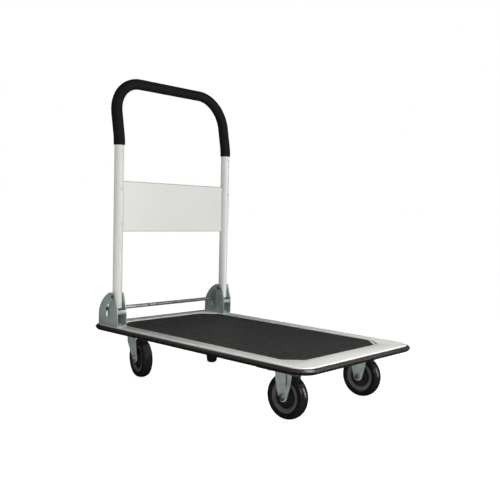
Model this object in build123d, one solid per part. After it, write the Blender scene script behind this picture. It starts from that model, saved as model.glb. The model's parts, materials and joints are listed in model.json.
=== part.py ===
from build123d import *
import os
from math import atan2, cos, degrees, pi, radians, sin, sqrt

# A folding platform cart: pressed-steel deck on four casters, with a U-shaped
# push handle that folds forward over the deck. Millimetres, +Z up. The origin is
# on the floor under the middle of the deck, +X points to the front, away from the
# handle, and +Y to the cart's left.

# ---------------------------------------------------------------- deck
DECK_LENGTH = 723.0
DECK_WIDTH = 436.5
DECK_CORNER = 39.5
SHEET = 1.5
RIM_TOP = 137.4
RIM_ROLL = 4.5
SKIRT_BOTTOM = 123.0
MAT_LENGTH = 619.6
MAT_WIDTH = 355.4
MAT_CENTRE_X = -6.7
MAT_CHAMFER = 44.0
MAT_TOP = 135.9
MAT_THICK = 2.0
RECESS_MARGIN = 3.0
RECESS_CHAMFER = 37.0
BUMPER_REACH = 8.5
BUMPER_CREST = (0.8, 135.0)
BUMPER_NOSE_Z = 129.2
BUMPER_NOSE_R = 0.8
BUMPER_FOOT = (2.0, 121.8)
BUMPER_LIP = 4.0

# ---------------------------------------------------------------- handle
PIVOT_X = -282.8
PIVOT_Z = 214.9
HANDLE_HALF_SPAN = 198.4
HANDLE_LEAN = 0.72
TUBE_R = 12.5
TUBE_WALL = 1.5
TAIL = 30.0
KNEE_UP = 415.0
KNEE_RADIUS = 150.0
UPPER_LENGTH = 158.4
UPPER_LEAN = 10.0
CORNER_RADIUS = 88.0
GRIP_R = 15.0
GRIP_START = 398.5
PANEL_LOW = 171.5
PANEL_HIGH = 305.8
PANEL_SHEET = 1.2
TAB_INSET = 12.5
TAB_OVERLAP = 64.0
HEM = 8.0
RIVET_INSET = 22.0

# ---------------------------------------------------------------- hinge brackets
PLATE = 2.0
BRACKET_GAP = 26.6
BRACKET_REAR = -342.3
BRACKET_SHOULDER_Z = 172.4
BRACKET_BACK_MIDDLE = (-321.5, 208.5)
BRACKET_TOP = 225.5
BRACKET_TOP_REAR = -296.0
BRACKET_TOP_FRONT = -274.4
BRACKET_KNEE_Z = 180.5
BRACKET_FRONT = -260.3
WEB_HEIGHT = 9.5
PIN_R = 4.0
PIN_HEAD_R = 6.5

# ---------------------------------------------------------------- latch
ROD_R = 5.0
ROD_X = -301.7
ROD_Z = 181.3
ROD_HALF_LENGTH = 216.5
SLOT_TOP = (-298.9, 194.1)
SLOT_BOTTOM = (-306.3, 159.6)
SLOT_WIDTH = 11.0
PEG_X = -298.9
PEG_Z = 210.9
SPRING_Y = 177.6
WIRE_R = 0.6
COIL_R = 3.2

# ---------------------------------------------------------------- casters
WHEEL_R = 51.5
TREAD_WIDTH = 27.0
HUB_R = 36.0
HUB_WIDTH = 22.0
BOSS_R = 12.5
BOSS_WIDTH = 31.0
AXLE_R = 4.0
BUSH_R = 6.0
RUNNING = 0.05
FORK_INNER = 16.0
FORK_SHEET = 2.5
CASTER_PLATE = 3.0
CASTER_PLATE_X = 84.0
CASTER_PLATE_Y = 66.0
BOLT_SPACING_X = 64.0
BOLT_SPACING_Y = 46.0
BUTTON_R = 7.0
BUTTON_HEIGHT = 2.5
RIGID_X = 263.3
RIGID_Y = 146.5
RIGID_PLATE_TOP = 111.6
SWIVEL_X = -267.2
SWIVEL_Y = 141.3
SWIVEL_PLATE_TOP = 116.6
TRAIL = 27.5
SWIVEL_TURN = {"left": -40.0, "right": -15.0}
CROWN_R = 31.0
CROWN_BOTTOM = 105.2
CROWN_SHEET = 3.0
RACE_R = 18.0
BALL_R = 2.6
BALLS = 16
KINGPIN_R = 6.0
HEX_FLAT = 13.0
NUT_HEIGHT = 6.0
HEAD_HEIGHT = 5.0
WASHER_R = 8.0

CROSSMEMBER_X = 112.0
CROSSMEMBER_HALF_Y = 190.0

SIDES = {"left": 1, "right": -1}
FLOOR_TOP = MAT_TOP - MAT_THICK
TRAY_UNDERSIDE = FLOOR_TOP - SHEET


def save(name, shape):
    export_step(shape, f"parts/{name}.step")


def slab(outline, low, high):
    """A sketch on the XY plane raised from height low to height high."""
    return Pos(0, 0, low) * extrude(outline, high - low)


def side_plate(outline, y_low, y_high):
    """A sketch drawn in X and Z, given thickness along Y."""
    plane = Plane(origin=(0, y_high, 0), x_dir=(1, 0, 0), z_dir=(0, -1, 0))
    return extrude(plane * outline, y_high - y_low)


def rod_y(x, z, radius, y_low, y_high):
    """A round bar along Y."""
    return Pos(x, (y_low + y_high) / 2, z) * Rot(90, 0, 0) * Cylinder(radius, y_high - y_low)


def hexagon_y(x, z, y_low, y_high):
    """A hexagon nut blank along Y."""
    blank = extrude(RegularPolygon(HEX_FLAT / 2, 6, major_radius=False), y_high - y_low)
    return Pos(x, y_high, z) * Rot(90, 0, 0) * blank


def hexagon_z(x, y, z_low, z_high):
    """A hexagon nut blank along Z."""
    outline = Pos(x, y) * RegularPolygon(HEX_FLAT / 2, 6, major_radius=False)
    return slab(outline, z_low, z_high)


def rod_z(x, y, radius, z_low, z_high):
    """A round bar along Z."""
    return Pos(x, y, (z_low + z_high) / 2) * Cylinder(radius, z_high - z_low)


def mirrored(shape, side):
    """A piece drawn for the left, moved to the side named."""
    return shape if side == "left" else mirror(shape, Plane.XZ)


# ================================================================ deck
def rounded_outline(grow=0.0):
    return RectangleRounded(DECK_LENGTH + 2 * grow, DECK_WIDTH + 2 * grow, DECK_CORNER + grow)


def chamfered_outline(length, width, cut):
    half_l, half_w = length / 2, width / 2
    corners = [
        (half_l, half_w - cut), (half_l - cut, half_w),
        (cut - half_l, half_w), (-half_l, half_w - cut),
        (-half_l, cut - half_w), (cut - half_l, -half_w),
        (half_l - cut, -half_w), (half_l, cut - half_w),
    ]
    sharp = make_face(Polyline(*corners, close=True))
    return Pos(MAT_CENTRE_X, 0) * fillet(sharp.vertices(), 12)


def recess_outline(grow=0.0):
    reach = 2 * (RECESS_MARGIN + grow)
    return chamfered_outline(MAT_LENGTH + reach, MAT_WIDTH + reach, RECESS_CHAMFER)


def bracket_bolt_places():
    """The bolts that hold both hinge brackets down, as points in X and Y."""
    return [(x, sign * HANDLE_HALF_SPAN) for sign in SIDES.values() for x in (-327.0, -272.0)]


def make_deck_tray():
    shell = slab(rounded_outline(), SKIRT_BOTTOM, RIM_TOP)
    shell = fillet(shell.faces().sort_by(Axis.Z)[-1].edges(), RIM_ROLL)
    shell -= slab(rounded_outline(-SHEET), SKIRT_BOTTOM, RIM_TOP - SHEET)
    shell += slab(recess_outline(SHEET), TRAY_UNDERSIDE, RIM_TOP - SHEET)
    shell -= slab(recess_outline(), FLOOR_TOP, RIM_TOP)
    for x, y in bracket_bolt_places():
        shell -= rod_z(x, y, AXLE_R, TRAY_UNDERSIDE, RIM_TOP)
    return shell


def make_edge_bumper():
    """A wedge-nosed rubber strip round the skirt, with a lip under the skirt's edge."""
    edge = DECK_WIDTH / 2
    foot_z = BUMPER_FOOT[1]
    crest = (edge + BUMPER_CREST[0], BUMPER_CREST[1])
    nose = edge + BUMPER_REACH
    nose_top = (nose - 0.5, BUMPER_NOSE_Z + BUMPER_NOSE_R)
    nose_low = (nose - 0.5, BUMPER_NOSE_Z - BUMPER_NOSE_R)
    inside = Polyline(
        crest, (edge, RIM_TOP - RIM_ROLL), (edge, SKIRT_BOTTOM), (edge - BUMPER_LIP, SKIRT_BOTTOM),
        (edge - BUMPER_LIP, foot_z), (edge + BUMPER_FOOT[0], foot_z),
    )
    under = ThreePointArc((edge + BUMPER_FOOT[0], foot_z), (edge + 5.6, foot_z + 2.5), nose_low)
    tip = ThreePointArc(nose_low, (nose, BUMPER_NOSE_Z), nose_top)
    upper = ThreePointArc(nose_top, (edge + 5.2, BUMPER_NOSE_Z + 3.9), crest)
    section = Plane.YZ * make_face(inside + under + tip + upper)
    path = rounded_outline().face().outer_wire()
    start_point = path.edges().filter_by(Axis.X).sort_by(Axis.Y)[-1].center()
    section = Pos(start_point.X, 0, 0) * section
    return sweep(section, path=path, transition=Transition.ROUND)


def make_deck_mat():
    outline = chamfered_outline(MAT_LENGTH, MAT_WIDTH, MAT_CHAMFER)
    return slab(outline, FLOOR_TOP, MAT_TOP)


def make_crossmember(x, y_bolts, bottom):
    """A shallow channel, open upwards, welded under the tray to carry two casters."""
    block = Pos(x, 0, (bottom + TRAY_UNDERSIDE) / 2)
    channel = block * Box(CROSSMEMBER_X, 2 * CROSSMEMBER_HALF_Y, TRAY_UNDERSIDE - bottom)
    hollow = Pos(0, 0, PLATE) * block
    channel -= hollow * Box(
        CROSSMEMBER_X - 2 * PLATE, 2 * CROSSMEMBER_HALF_Y, TRAY_UNDERSIDE - bottom
    )
    for sign in SIDES.values():
        for px, py in plate_bolt_places(x, sign * y_bolts):
            channel -= rod_z(px, py, AXLE_R, bottom, bottom + PLATE)
        channel -= rod_z(x, sign * y_bolts, WASHER_R + 3, bottom, bottom + PLATE)
    return channel


# ================================================================ hinge brackets
def bracket_profile():
    """Side view of a bracket plate: rounded back, flat top, sloping front."""
    back = Line((BRACKET_REAR, RIM_TOP), (BRACKET_REAR, BRACKET_SHOULDER_Z))
    curve = ThreePointArc(
        (BRACKET_REAR, BRACKET_SHOULDER_Z), BRACKET_BACK_MIDDLE, (BRACKET_TOP_REAR, BRACKET_TOP)
    )
    front = Polyline(
        (BRACKET_TOP_REAR, BRACKET_TOP),
        (BRACKET_TOP_FRONT, BRACKET_TOP),
        (BRACKET_FRONT, BRACKET_KNEE_Z),
        (BRACKET_FRONT, RIM_TOP),
        (BRACKET_REAR, RIM_TOP),
    )
    return make_face(back + curve + front)


def latch_slot():
    """The slanted slot that the latch rod slides in, drawn in X and Z."""
    run, rise = SLOT_TOP[0] - SLOT_BOTTOM[0], SLOT_TOP[1] - SLOT_BOTTOM[1]
    middle = ((SLOT_TOP[0] + SLOT_BOTTOM[0]) / 2, (SLOT_TOP[1] + SLOT_BOTTOM[1]) / 2)
    return Pos(*middle) * Rot(0, 0, degrees(atan2(rise, run))) * SlotOverall(
        sqrt(run**2 + rise**2), SLOT_WIDTH
    )


def make_hinge_bracket():
    """The left bracket: a bent-up channel with a front web and a peg for the spring."""
    inner = HANDLE_HALF_SPAN - BRACKET_GAP / 2
    outer = HANDLE_HALF_SPAN + BRACKET_GAP / 2
    bracket = side_plate(bracket_profile(), inner - PLATE, inner)
    bracket += side_plate(bracket_profile(), outer, outer + PLATE)
    for y_low in (inner - PLATE, outer):
        bracket -= side_plate(latch_slot(), y_low, y_low + PLATE)
        bracket -= rod_y(PIVOT_X, PIVOT_Z, PIN_R, y_low, y_low + PLATE)
    base = slab(
        Pos((BRACKET_REAR + BRACKET_FRONT) / 2, HANDLE_HALF_SPAN)
        * Rectangle(BRACKET_FRONT - BRACKET_REAR, BRACKET_GAP),
        RIM_TOP,
        RIM_TOP + PLATE,
    )
    for x, y in bracket_bolt_places():
        base -= rod_z(x, y, AXLE_R, RIM_TOP, RIM_TOP + PLATE)
    web = Pos(BRACKET_FRONT - PLATE / 2, HANDLE_HALF_SPAN, BRACKET_KNEE_Z - WEB_HEIGHT / 2)
    web = web * Box(PLATE, BRACKET_GAP, WEB_HEIGHT)
    peg = rod_y(PEG_X, PEG_Z, 2.0, SPRING_Y - 2.5, inner - PLATE)
    return bracket + base + web + peg


def make_bracket_bolts():
    """Hexagon bolts down through each bracket's base, with nuts under the rim."""
    solids = []
    rim_underside = RIM_TOP - SHEET
    for x, y in bracket_bolt_places():
        head_low = RIM_TOP + PLATE
        bolt = hexagon_z(x, y, head_low, head_low + HEAD_HEIGHT)
        bolt += rod_z(x, y, AXLE_R, rim_underside - 8.0, head_low)
        nut = hexagon_z(x, y, rim_underside - NUT_HEIGHT, rim_underside)
        nut -= rod_z(x, y, AXLE_R, rim_underside - NUT_HEIGHT, rim_underside)
        solids += [bolt, nut]
    return Compound(children=solids)


def make_pivot_pin():
    """The left hinge pin: head on the deck side, hexagon socket on the outer side."""
    inner = HANDLE_HALF_SPAN - BRACKET_GAP / 2 - PLATE
    outer = HANDLE_HALF_SPAN + BRACKET_GAP / 2 + PLATE
    pin = rod_y(PIVOT_X, PIVOT_Z, PIN_R, inner, outer + 1.0)
    head = rod_y(PIVOT_X, PIVOT_Z, PIN_HEAD_R, inner - 3.0, inner)
    head = fillet(head.faces().sort_by(Axis.Y)[0].edges(), 2.0)
    socket = rod_y(PIVOT_X, PIVOT_Z, PIN_R - 1.2, outer - 2.5, outer + 1.0)
    return pin + head - socket


# ================================================================ latch
def make_latch_rod():
    bar = rod_y(ROD_X, ROD_Z, ROD_R, -ROD_HALF_LENGTH, ROD_HALF_LENGTH)
    for sign in SIDES.values():
        groove = rod_y(ROD_X, ROD_Z, ROD_R + 1, -0.6, 0.6)
        groove -= rod_y(ROD_X, ROD_Z, ROD_R - 0.8, -0.6, 0.6)
        bar -= Pos(0, sign * clip_y(), 0) * groove
    return chamfer(bar.edges().group_by(Axis.Y)[0] + bar.edges().group_by(Axis.Y)[-1], 0.6)


def clip_y():
    """Where each retaining clip sits along the rod, just inside the spring."""
    return SPRING_Y - 6.0


def make_rod_clips():
    """An open spring clip in each of the rod's grooves."""
    solids = []
    for sign in SIDES.values():
        clip = rod_y(ROD_X, ROD_Z, ROD_R + 3.0, -0.5, 0.5)
        clip -= rod_y(ROD_X, ROD_Z, ROD_R - 0.8, -0.5, 0.5)
        clip -= Pos(ROD_X, 0, ROD_Z - ROD_R) * Box(5.0, 1.0, 2 * ROD_R)
        solids.append(Pos(0, sign * clip_y(), 0) * clip)
    return Compound(children=solids)


def make_latch_spring():
    """The left return spring: a wire coil with an eye round the peg and one round the rod."""
    peg_eye, rod_eye = 2.9, ROD_R + 1.5
    low = ROD_Z + rod_eye
    high = PEG_Z - peg_eye
    x_mid = (ROD_X + PEG_X) / 2
    path = Helix(pitch=2.4, height=high - low, radius=COIL_R)
    start = path @ 0
    profile = Plane(origin=start, z_dir=path % 0) * Circle(WIRE_R)
    coil = Pos(x_mid, SPRING_Y, low) * sweep(profile, path=path, is_frenet=True)
    eyes = [(ROD_X, ROD_Z, rod_eye), (PEG_X, PEG_Z, peg_eye)]
    rings = [Pos(x, SPRING_Y, z) * Rot(90, 0, 0) * Torus(r, WIRE_R) for x, z, r in eyes]
    bars = [
        Pos(x_mid + COIL_R / 2, SPRING_Y, z) * Rot(0, 90, 0) * Cylinder(WIRE_R, COIL_R + 1.2)
        for z in (low, high)
    ]
    spring = coil
    for piece in rings + bars:
        spring += piece
    return spring


# ================================================================ handle
def handle_place():
    """The handle is drawn upright from its pivot, then leaned back into place."""
    return Pos(PIVOT_X, 0, PIVOT_Z) * Rot(0, -HANDLE_LEAN, 0)


def handle_path(start):
    """Centreline of the bent tube, from a height on one upright over to the other."""
    top_x = -UPPER_LENGTH * sin(radians(UPPER_LEAN))
    top_z = KNEE_UP + UPPER_LENGTH * cos(radians(UPPER_LEAN))
    half = HANDLE_HALF_SPAN
    points = [
        (0, half, start), (0, half, KNEE_UP), (top_x, half, top_z),
        (top_x, -half, top_z), (0, -half, KNEE_UP), (0, -half, start),
    ]
    radii = [KNEE_RADIUS, CORNER_RADIUS, CORNER_RADIUS, KNEE_RADIUS]
    return FilletPolyline(*points, radius=radii)


def swept_tube(start, outer, inner):
    path = handle_path(start)
    ring = Circle(outer) - Circle(inner)
    return sweep(Pos(0, HANDLE_HALF_SPAN, start) * ring, path=path)


def rivet_places():
    """Rivets as points in Y and Z of the upright handle."""
    heights = (PANEL_LOW + RIVET_INSET, PANEL_HIGH - RIVET_INSET)
    return [(sign * HANDLE_HALF_SPAN, z) for sign in SIDES.values() for z in heights]


def rivet_bore(y, z, radius):
    return Pos(TUBE_R, y, z) * Rot(0, 90, 0) * Cylinder(radius, 8.0)


def make_handle_tube():
    tube = swept_tube(-TAIL, TUBE_R, TUBE_R - TUBE_WALL)
    for sign in SIDES.values():
        y = sign * HANDLE_HALF_SPAN
        tube -= rod_y(0, 0, PIN_R + RUNNING, y - TUBE_R - 1, y + TUBE_R + 1)
    for y, z in rivet_places():
        tube -= rivet_bore(y, z, 2.0)
    return handle_place() * tube


def make_handle_grip():
    return handle_place() * swept_tube(GRIP_START, GRIP_R, TUBE_R)


def make_handle_panel():
    """A sheet between the uprights whose ends wrap round the front of the tube."""
    outer = TUBE_R + PANEL_SHEET
    flat_reach = HANDLE_HALF_SPAN - TUBE_R
    middle = (PANEL_LOW + PANEL_HIGH) / 2
    height = PANEL_HIGH - PANEL_LOW
    panel = Pos(PANEL_SHEET / 2, 0, middle) * Box(PANEL_SHEET, 2 * flat_reach, height)
    for z in (PANEL_LOW + HEM / 2, PANEL_HIGH - HEM / 2):
        panel += Pos(-PANEL_SHEET / 2, 0, z) * Box(PANEL_SHEET, 2 * flat_reach - 4, HEM)
    tab_low, tab_high = PANEL_LOW + TAB_INSET, PANEL_HIGH - TAB_INSET
    for sign in SIDES.values():
        sweep_angle = 90 + TAB_OVERLAP
        start_angle = -90 if sign > 0 else -TAB_OVERLAP
        edge_in = CenterArc((0, 0), TUBE_R, start_angle, sweep_angle)
        edge_out = CenterArc((0, 0), outer, start_angle, sweep_angle)
        ends = [Line(edge_in @ t, edge_out @ t) for t in (0, 1)]
        wrap = make_face(edge_in + edge_out + ends[0] + ends[1])
        panel += Pos(0, sign * HANDLE_HALF_SPAN, 0) * slab(wrap, tab_low, tab_high)
    for y, z in rivet_places():
        panel -= rivet_bore(y, z, 2.0)
    return handle_place() * panel


def make_panel_rivets():
    """Dome-headed rivets through the panel's tabs into the tube."""
    solids = []
    for y, z in rivet_places():
        shank = Pos(TUBE_R - TUBE_WALL - 0.6, y, z) * Rot(0, 90, 0) * Cylinder(
            2.0, PANEL_SHEET + TUBE_WALL + 0.6, align=(Align.CENTER, Align.CENTER, Align.MIN)
        )
        head = Pos(TUBE_R + PANEL_SHEET - 2.2, y, z) * Sphere(4.3)
        head &= Pos(TUBE_R + PANEL_SHEET + 2.5, y, z) * Box(5.0, 10.0, 10.0)
        bulb = Pos(TUBE_R - TUBE_WALL - 2.1, y, z) * Rot(0, 90, 0) * Cylinder(3.0, 3.0)
        solids.append(handle_place() * (shank + head + bulb))
    return Compound(children=solids)


# ================================================================ casters
def plate_bolt_places(x, y):
    half_x, half_y = BOLT_SPACING_X / 2, BOLT_SPACING_Y / 2
    return [(x + i * half_x, y + j * half_y) for i in (-1, 1) for j in (-1, 1)]


def mounting_plate(x, y, top):
    outline = Pos(x, y) * RectangleRounded(CASTER_PLATE_X, CASTER_PLATE_Y, 8)
    plate = slab(outline, top - CASTER_PLATE, top)
    for px, py in plate_bolt_places(x, y):
        plate -= rod_z(px, py, AXLE_R, top - CASTER_PLATE, top)
    return plate


def rigid_leg_profile():
    """A leg of the fixed caster, drawn about the axle in X and Z."""
    top = RIGID_PLATE_TOP - CASTER_PLATE
    right = Polyline((23.0, top), (21.0, 86.4), (17.3, 69.7), (12.0, 53.0))
    foot = ThreePointArc((12.0, 53.0), (0, 41.0), (-12.0, 53.0))
    left = Polyline((-12.0, 53.0), (-17.3, 69.7), (-21.0, 86.4), (-23.0, top), (23.0, top))
    return make_face(right + foot + left)


def make_rigid_caster_frame():
    """The left fixed caster's frame: a folded channel welded under its plate."""
    top = RIGID_PLATE_TOP - CASTER_PLATE
    frame = mounting_plate(RIGID_X, RIGID_Y, RIGID_PLATE_TOP)
    for side in (-1, 1):
        low = RIGID_Y + side * (FORK_INNER + FORK_SHEET / 2) - FORK_SHEET / 2
        leg = Pos(RIGID_X, 0, 0) * side_plate(rigid_leg_profile(), low, low + FORK_SHEET)
        leg -= rod_y(RIGID_X, WHEEL_R, AXLE_R, low, low + FORK_SHEET)
        frame += leg
    crown = Pos(RIGID_X, RIGID_Y, top - FORK_SHEET / 2)
    frame += crown * Box(46.0, 2 * FORK_INNER, FORK_SHEET)
    rib_slot = Pos(RIGID_X + 9.4, 90.4) * Rot(0, 0, 90) * SlotOverall(27.6, 3.2)
    outer_leg = RIGID_Y + FORK_INNER
    return frame - side_plate(rib_slot, outer_leg, outer_leg + FORK_SHEET)


def make_axle_bolt(x, y):
    """A hexagon bolt along Y through a caster's legs, head on the inner side."""
    reach = FORK_INNER + FORK_SHEET
    bolt = rod_y(x, WHEEL_R, AXLE_R, y - reach, y + reach + NUT_HEIGHT + 1.5)
    return bolt + hexagon_y(x, WHEEL_R, y - reach - HEAD_HEIGHT, y - reach)


def make_axle_nut(x, y):
    """A flanged nut on the outer end of an axle bolt."""
    start = y + FORK_INNER + FORK_SHEET
    nut = hexagon_y(x, WHEEL_R, start + 1.2, start + NUT_HEIGHT)
    nut += rod_y(x, WHEEL_R, WASHER_R, start, start + 1.2)
    return nut - rod_y(x, WHEEL_R, AXLE_R, start, start + NUT_HEIGHT)


def make_plate_bolts(x, y, top):
    """Bolts and nuts that hold one pair of casters to its crossmember."""
    bolts, nuts = [], []
    for sign in SIDES.values():
        for px, py in plate_bolt_places(x, sign * y):
            low = top - CASTER_PLATE
            head = rod_z(px, py, BUTTON_R, low - BUTTON_HEIGHT, low)
            head = fillet(head.faces().sort_by(Axis.Z)[0].edges(), 1.5)
            bolts.append(head + rod_z(px, py, AXLE_R, low, top + PLATE + 8.0))
            nut = hexagon_z(px, py, top + PLATE, top + PLATE + NUT_HEIGHT)
            nuts.append(nut - rod_z(px, py, AXLE_R, top + PLATE, top + PLATE + NUT_HEIGHT))
    return Compound(children=bolts), Compound(children=nuts)


def make_swivel_plate():
    """The left swivelling caster's plate, with the ring that covers its ball race."""
    low = SWIVEL_PLATE_TOP - CASTER_PLATE
    plate = mounting_plate(SWIVEL_X, SWIVEL_Y, SWIVEL_PLATE_TOP)
    ring = rod_z(SWIVEL_X, SWIVEL_Y, RACE_R + 8.0, low - 4.0, low)
    ring -= rod_z(SWIVEL_X, SWIVEL_Y, RACE_R + 6.0, low - 4.0, low)
    return plate + ring - rod_z(SWIVEL_X, SWIVEL_Y, KINGPIN_R, low, SWIVEL_PLATE_TOP)


def make_kingpin():
    """The left swivel's rivet, headed above the plate and below the crown."""
    crown_low = CROWN_BOTTOM
    pin = rod_z(SWIVEL_X, SWIVEL_Y, KINGPIN_R, crown_low - 1.0, SWIVEL_PLATE_TOP)
    head = rod_z(SWIVEL_X, SWIVEL_Y, KINGPIN_R + 3, SWIVEL_PLATE_TOP, SWIVEL_PLATE_TOP + 3.0)
    tail = rod_z(SWIVEL_X, SWIVEL_Y, KINGPIN_R + 3, crown_low - 3.5, crown_low - 0.3)
    return pin + head + tail


def make_swivel_balls():
    """The ring of steel balls between the left swivel's crown and plate."""
    height = (CROWN_BOTTOM + CROWN_SHEET + SWIVEL_PLATE_TOP - CASTER_PLATE) / 2
    solids = []
    for i in range(BALLS):
        turn = 2 * pi * i / BALLS
        at = (SWIVEL_X + RACE_R * cos(turn), SWIVEL_Y + RACE_R * sin(turn), height)
        solids.append(Pos(*at) * Sphere(BALL_R))
    return Compound(children=solids)


def swivel_leg_profile():
    """A leg of the swivelling fork in X and Z, from the crown down to the axle."""
    top = CROWN_BOTTOM + CROWN_SHEET
    front = Polyline((27.0, top), (33.0, 88.0), (TRAIL + 12.0, WHEEL_R + 1.5))
    foot = ThreePointArc(
        (TRAIL + 12.0, WHEEL_R + 1.5), (TRAIL, WHEEL_R - 10.5), (TRAIL - 10.0, WHEEL_R - 5.0)
    )
    back = Polyline((TRAIL - 10.0, WHEEL_R - 5.0), (-21.0, 88.0), (-23.0, top), (27.0, top))
    return make_face(front + foot + back)


def swivel_place(side):
    """A swivelling fork is drawn with its axle straight ahead of the kingpin, then turned."""
    return Pos(SWIVEL_X, SIDES[side] * SWIVEL_Y, 0) * Rot(0, 0, SWIVEL_TURN[side])


def make_swivel_fork():
    crown = rod_z(0, 0, CROWN_R, CROWN_BOTTOM, CROWN_BOTTOM + CROWN_SHEET)
    crown &= Pos(0, 0, CROWN_BOTTOM) * Box(70.0, 2 * (FORK_INNER + FORK_SHEET), 10.0)
    fork = crown
    for side in (-1, 1):
        low = side * (FORK_INNER + FORK_SHEET / 2) - FORK_SHEET / 2
        leg = side_plate(swivel_leg_profile(), low, low + FORK_SHEET)
        fork += leg - rod_y(TRAIL, WHEEL_R, AXLE_R, low, low + FORK_SHEET)
    race = rod_z(0, 0, RACE_R + 5.5, CROWN_BOTTOM, CROWN_BOTTOM + CROWN_SHEET)
    bore = rod_z(0, 0, KINGPIN_R + RUNNING, CROWN_BOTTOM, CROWN_BOTTOM + CROWN_SHEET)
    return fork + race - bore


def make_tyre():
    """A solid rubber tyre about the Y axis, with a crowned tread."""
    half = TREAD_WIDTH / 2
    tread = ThreePointArc((WHEEL_R - 3.0, -half + 2.5), (WHEEL_R, 0), (WHEEL_R - 3.0, half - 2.5))
    shoulder = Line(tread @ 1, (WHEEL_R - 6.5, half))
    wall = Line(shoulder @ 1, (HUB_R + 1.5, half - 0.8))
    bead = Polyline(
        wall @ 1, (HUB_R, half - 2.5), (HUB_R, 2.5 - half), (HUB_R + 1.5, 0.8 - half)
    )
    wall_back = Line(bead @ 1, (WHEEL_R - 6.5, -half))
    shoulder_back = Line(wall_back @ 1, tread @ 0)
    outline = tread + shoulder + wall + bead + wall_back + shoulder_back
    return Rot(90, 0, 0) * revolve(Plane.XZ * make_face(outline), Axis.Z)


def make_hub():
    """A dished wheel centre: rim, thin web, and a boss that holds the bush."""
    rim, boss = HUB_WIDTH / 2, BOSS_WIDTH / 2
    points = [
        (BUSH_R, boss), (BOSS_R - 1.5, boss), (BOSS_R, boss - 4.0), (BOSS_R + 2.0, 4.5),
        (24.0, 3.5), (31.0, rim - 1.0), (32.0, rim), (HUB_R, rim),
    ]
    outline = points + [(r, -y) for r, y in reversed(points)]
    section = make_face(Polyline(*outline, close=True))
    return Rot(90, 0, 0) * revolve(Plane.XZ * section, Axis.Z)


def make_wheel_bush():
    """The sleeve pressed into the hub, running on the axle bolt."""
    return rod_y(0, 0, BUSH_R, -BOSS_WIDTH / 2, BOSS_WIDTH / 2) - rod_y(
        0, 0, AXLE_R + RUNNING, -BOSS_WIDTH / 2, BOSS_WIDTH / 2
    )


# ================================================================ write every piece
os.makedirs("parts", exist_ok=True)

save("deck_tray", make_deck_tray())
save("edge_bumper", make_edge_bumper())
save("deck_mat", make_deck_mat())
save("front_crossmember", make_crossmember(RIGID_X, RIGID_Y, RIGID_PLATE_TOP))
save("rear_crossmember", make_crossmember(SWIVEL_X, SWIVEL_Y, SWIVEL_PLATE_TOP))
save("bracket_bolts", make_bracket_bolts())
save("latch_rod", make_latch_rod())
save("rod_clips", make_rod_clips())
save("handle_tube", make_handle_tube())
save("handle_grip", make_handle_grip())
save("handle_panel", make_handle_panel())
save("panel_rivets", make_panel_rivets())

for end, place in (
    ("front", (RIGID_X, RIGID_Y, RIGID_PLATE_TOP)),
    ("rear", (SWIVEL_X, SWIVEL_Y, SWIVEL_PLATE_TOP)),
):
    plate_bolts, plate_nuts = make_plate_bolts(*place)
    save(f"{end}_caster_bolts", plate_bolts)
    save(f"{end}_caster_nuts", plate_nuts)

left_pieces = {
    "hinge_bracket": make_hinge_bracket(),
    "pivot_pin": make_pivot_pin(),
    "rigid_caster_frame": make_rigid_caster_frame(),
    "rigid_axle_bolt": make_axle_bolt(RIGID_X, RIGID_Y),
    "rigid_axle_nut": make_axle_nut(RIGID_X, RIGID_Y),
    "swivel_plate": make_swivel_plate(),
    "swivel_kingpin": make_kingpin(),
    "swivel_balls": make_swivel_balls(),
}
swivel_pieces = {
    "swivel_fork": make_swivel_fork(),
    "swivel_axle_bolt": make_axle_bolt(TRAIL, 0),
    "swivel_axle_nut": make_axle_nut(TRAIL, 0),
}
wheel_pieces = {"tyre": make_tyre(), "hub": make_hub(), "bush": make_wheel_bush()}
latch_spring = make_latch_spring()

for side, sign in SIDES.items():
    for name, piece in left_pieces.items():
        save(f"{name}_{side}", mirrored(piece, side))
    save(f"latch_spring_{side}", Pos(0, (sign - 1) * SPRING_Y, 0) * latch_spring)
    for name, piece in swivel_pieces.items():
        save(f"{name}_{side}", swivel_place(side) * mirrored(piece, side))
    for name, piece in wheel_pieces.items():
        save(f"front_{name}_{side}", Pos(RIGID_X, sign * RIGID_Y, WHEEL_R) * piece)
        save(f"rear_{name}_{side}", swivel_place(side) * Pos(TRAIL, 0, WHEEL_R) * piece)
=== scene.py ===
import json
from math import atan2, cos, pi, radians, sin, sqrt, tan

import bmesh
import bpy
from mathutils import Matrix, Vector


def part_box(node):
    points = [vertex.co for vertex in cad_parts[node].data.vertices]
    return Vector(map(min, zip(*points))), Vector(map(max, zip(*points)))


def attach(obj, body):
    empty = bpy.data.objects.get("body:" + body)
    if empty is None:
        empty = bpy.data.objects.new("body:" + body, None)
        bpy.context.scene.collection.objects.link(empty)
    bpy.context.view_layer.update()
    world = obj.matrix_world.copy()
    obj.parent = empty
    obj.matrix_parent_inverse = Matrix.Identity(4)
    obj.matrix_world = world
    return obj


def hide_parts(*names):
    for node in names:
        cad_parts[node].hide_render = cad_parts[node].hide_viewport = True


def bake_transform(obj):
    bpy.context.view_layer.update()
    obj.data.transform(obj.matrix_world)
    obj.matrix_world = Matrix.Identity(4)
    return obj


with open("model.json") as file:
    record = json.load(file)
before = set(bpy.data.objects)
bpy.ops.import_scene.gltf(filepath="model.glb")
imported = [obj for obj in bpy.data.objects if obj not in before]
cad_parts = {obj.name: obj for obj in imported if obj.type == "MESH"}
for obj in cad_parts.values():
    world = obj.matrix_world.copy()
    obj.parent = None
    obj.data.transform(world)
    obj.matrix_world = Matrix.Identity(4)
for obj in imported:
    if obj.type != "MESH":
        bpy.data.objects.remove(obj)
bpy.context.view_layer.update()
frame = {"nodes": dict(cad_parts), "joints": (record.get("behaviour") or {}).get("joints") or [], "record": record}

MM = 0.001
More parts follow.
